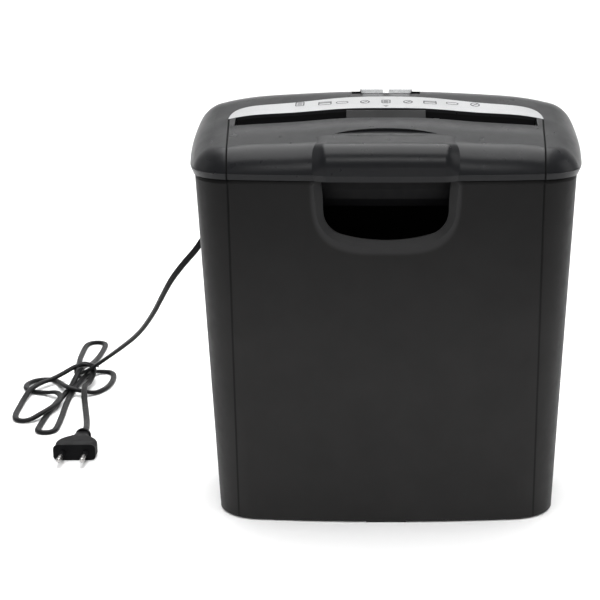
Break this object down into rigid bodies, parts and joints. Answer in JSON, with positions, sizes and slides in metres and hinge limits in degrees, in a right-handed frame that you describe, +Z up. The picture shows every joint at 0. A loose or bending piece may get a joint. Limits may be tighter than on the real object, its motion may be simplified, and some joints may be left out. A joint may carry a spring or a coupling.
{
  "type": "paper shredder",
  "caption": "Strip-cut paper shredder head with a crowned cover, slide switch and gear-driven cutters, standing on a tapered waste bin with a hand hole; mains cord tied in loops.",
  "frame": {"origin": "centre of the footprint of the head and bin, on the floor", "axes": "+Z up, front (hand hole) faces -Y, +X to the right as seen from the front"},
  "size_m": [0.4899, 0.5055, 0.3132],
  "materials": {
    "charcoal_plastic": "fine satin texture",
    "silver_panel": "satin silver paint on plastic",
    "guide_grey": "satin",
    "inner_black": "matt",
    "foot_rubber": "matt",
    "plate_steel": "zinc plated sheet",
    "cutter_steel": "oiled hardened steel",
    "shaft_steel": "ground",
    "gear_nylon": "greased nylon",
    "bush_bronze": "sintered",
    "comb_plastic": "matt",
    "motor_steel": "zinc plated",
    "magnet": "matt",
    "copper": "enamelled wire and laminations",
    "fan_plastic": "matt",
    "board_green": "solder resist",
    "relay_blue": "gloss",
    "capacitor_can": "gloss sleeve",
    "terminal_green": "satin",
    "switch_black": "satin",
    "knob_silver": "satin plated plastic",
    "sensor_white": "satin",
    "plunger_red": "satin",
    "screw_steel": "zinc plated",
    "cord_black": "satin flexible cord",
    "plug_black": "satin moulding",
    "pin_brass": "nickel plated",
    "tie_black": "coated wire"
  },
  "bodies": {
    "bin": {"waste_bin": "charcoal_plastic", "bin_feet": "foot_rubber"},
    "head": {"head_shell": "charcoal_plastic", "front_fascia": "charcoal_plastic", "control_panel": "silver_panel", "card_guide": "guide_grey", "throat_rear": "inner_black", "throat_front": "inner_black", "head_base": "inner_black", "side_plate_left": "plate_steel", "side_plate_right": "plate_steel", "tie_rods": "shaft_steel", "tie_rod_nuts": "screw_steel", "shaft_bushes_left": "bush_bronze", "shaft_bushes_right": "bush_bronze", "stripper_comb_front": "comb_plastic", "stripper_comb_rear": "comb_plastic", "gear_pins": "shaft_steel", "retaining_rings": "screw_steel", "motor_case": "motor_steel", "motor_magnets": "magnet", "motor_end_cap": "switch_black", "motor_screws": "screw_steel", "motor_cradle": "inner_black", "thermal_cutout": "switch_black", "control_board": "board_green", "board_posts": "inner_black", "relay": "relay_blue", "capacitor": "capacitor_can", "terminal_block": "terminal_green", "slide_switch": "switch_black", "sensor_pin": "shaft_steel", "sensor_bracket": "inner_black", "sensor_switch": "switch_black", "interlock_switch": "switch_black", "base_screws": "screw_steel", "strain_relief": "cord_black", "power_cord": "cord_black", "cord_hank": "cord_black", "cord_tail": "cord_black", "twist_tie": "tie_black", "plug_body": "plug_black", "plug_pins": "pin_brass"},
    "rear_cutter": {"cutter_shaft_rear": "shaft_steel", "cutter_discs_rear": "cutter_steel", "sync_gear_rear": "cutter_steel", "main_gear": "gear_nylon"},
    "front_cutter": {"cutter_shaft_front": "shaft_steel", "cutter_discs_front": "cutter_steel", "sync_gear_front": "cutter_steel"},
    "second_stage_gear": {"compound_gear_two": "gear_nylon"},
    "first_stage_gear": {"compound_gear_one": "gear_nylon"},
    "motor_armature": {"motor_rotor": "copper", "motor_pinion": "cutter_steel", "motor_fan": "fan_plastic"},
    "mode_switch": {"mode_switch_knob": "knob_silver"},
    "paper_sensor": {"sensor_lever": "sensor_white"},
    "interlock": {"interlock_plunger": "plunger_red"}
  },
  "joints": [
    {"name": "head_lift", "type": "slide", "parent": "bin", "child": "head", "axis": [0, 0, 1], "range_m": [0, 0.1]},
    {"name": "rear_cutter_spin", "type": "hinge", "parent": "head", "child": "rear_cutter", "pos_m": [0, 0.00625, 0.266], "axis": [1, 0, 0], "continuous": true},
    {"name": "front_cutter_spin", "type": "hinge", "parent": "head", "child": "front_cutter", "pos_m": [0, -0.01625, 0.266], "axis": [1, 0, 0], "continuous": true},
    {"name": "second_stage_spin", "type": "hinge", "parent": "head", "child": "second_stage_gear", "pos_m": [0, 0.02857, 0.26044], "axis": [1, 0, 0], "continuous": true},
    {"name": "first_stage_spin", "type": "hinge", "parent": "head", "child": "first_stage_gear", "pos_m": [0, 0.04194, 0.27637], "axis": [1, 0, 0], "continuous": true},
    {"name": "motor_spin", "type": "hinge", "parent": "head", "child": "motor_armature", "pos_m": [0, 0.06274, 0.27637], "axis": [1, 0, 0], "continuous": true},
    {"name": "mode_switch_slide", "type": "slide", "parent": "head", "child": "mode_switch", "axis": [1, 0, 0], "range_m": [-0.006, 0.006]},
    {"name": "paper_sensor_tilt", "type": "hinge", "parent": "head", "child": "paper_sensor", "pos_m": [0.038, 0.009, 0.2925], "axis": [1, 0, 0], "range_deg": [0, 25], "stiffness_Nm_per_rad": 0.002, "springref_deg": -11.46},
    {"name": "interlock_drop", "type": "slide", "parent": "head", "child": "interlock", "axis": [0, 0, 1], "range_m": [-0.002, 0]}
  ],
  "couplings": [
    {"joint": "front_cutter_spin", "follows": "rear_cutter_spin", "ratio": -1},
    {"joint": "second_stage_spin", "follows": "rear_cutter_spin", "ratio": -2.8333},
    {"joint": "first_stage_spin", "follows": "rear_cutter_spin", "ratio": 9.4444},
    {"joint": "motor_spin", "follows": "rear_cutter_spin", "ratio": -31.481},
    {"joint": "interlock_drop", "follows": "head_lift", "ratio": -0.02}
  ]
}
